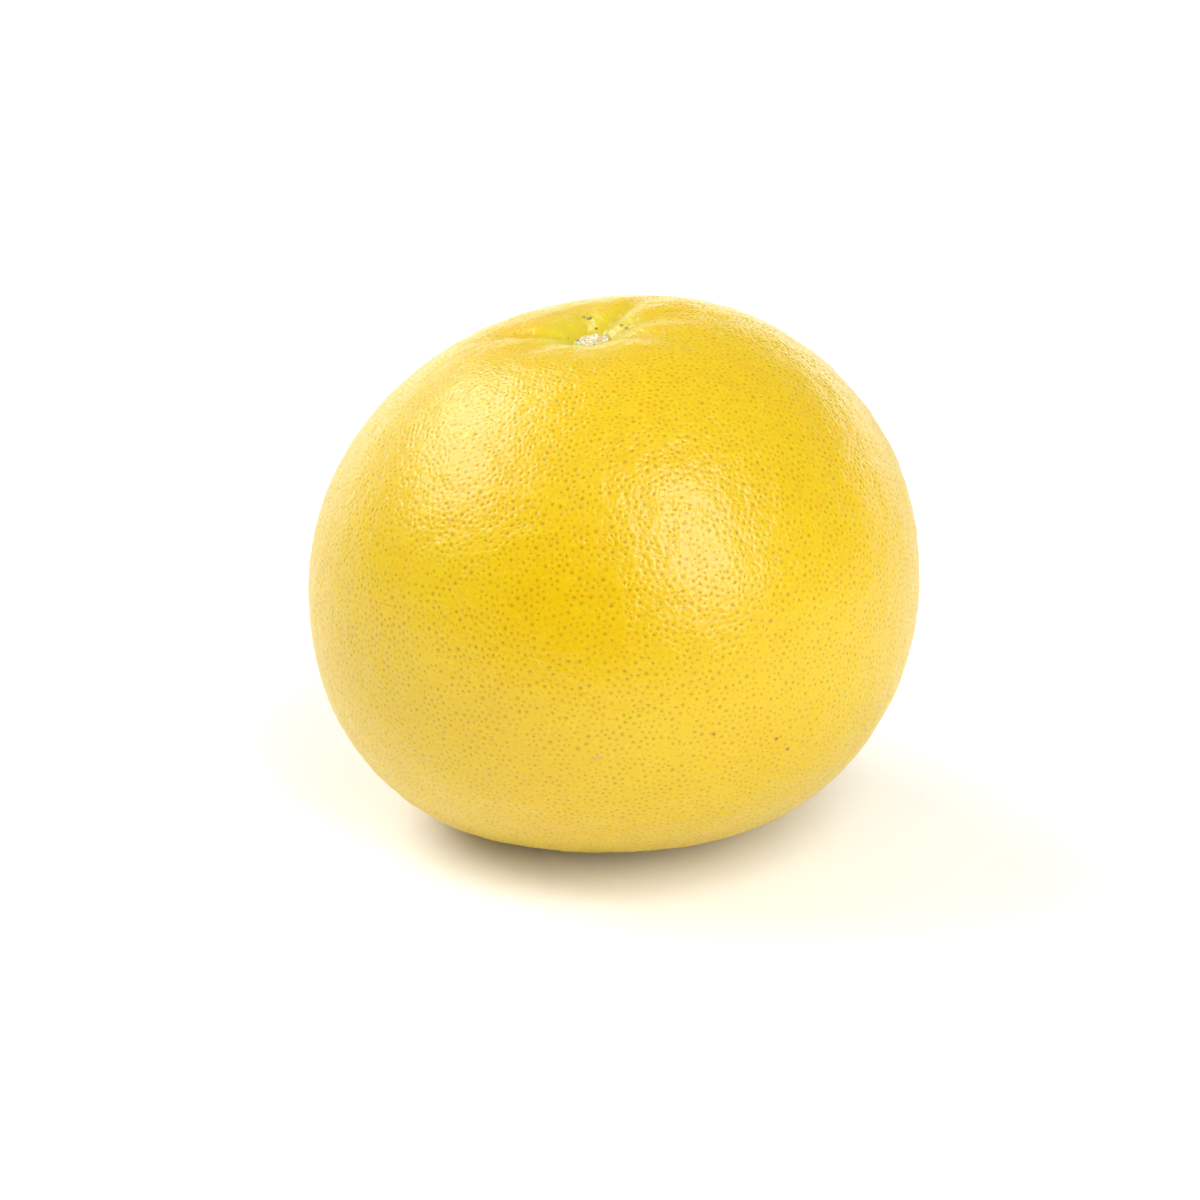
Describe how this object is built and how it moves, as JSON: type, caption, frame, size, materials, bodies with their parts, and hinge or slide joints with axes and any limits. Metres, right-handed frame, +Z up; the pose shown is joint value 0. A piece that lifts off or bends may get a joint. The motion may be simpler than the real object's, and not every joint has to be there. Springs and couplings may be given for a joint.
{
  "type": "grapefruit",
  "caption": "Whole yellow grapefruit: a slightly flattened, lopsided ball with a shallow furrowed basin and a corky stalk scar on top, resting on a small flat spot.",
  "frame": {"origin": "on the flat spot that the fruit rests on, straight below the middle of the fruit", "axes": "+Z up, through the fruit from the flat spot to the stem end, which leans a few degrees towards -X and -Y; +X and +Y lie in the resting plane"},
  "size_m": [0.1099, 0.1107, 0.0946],
  "materials": {
    "peel": "Waxy citrus peel, satin gloss, warm yellow with olive-tan oil pores and a greener stem end"
  },
  "bodies": {
    "root": {"grapefruit": "peel"}
  },
  "joints": []
}
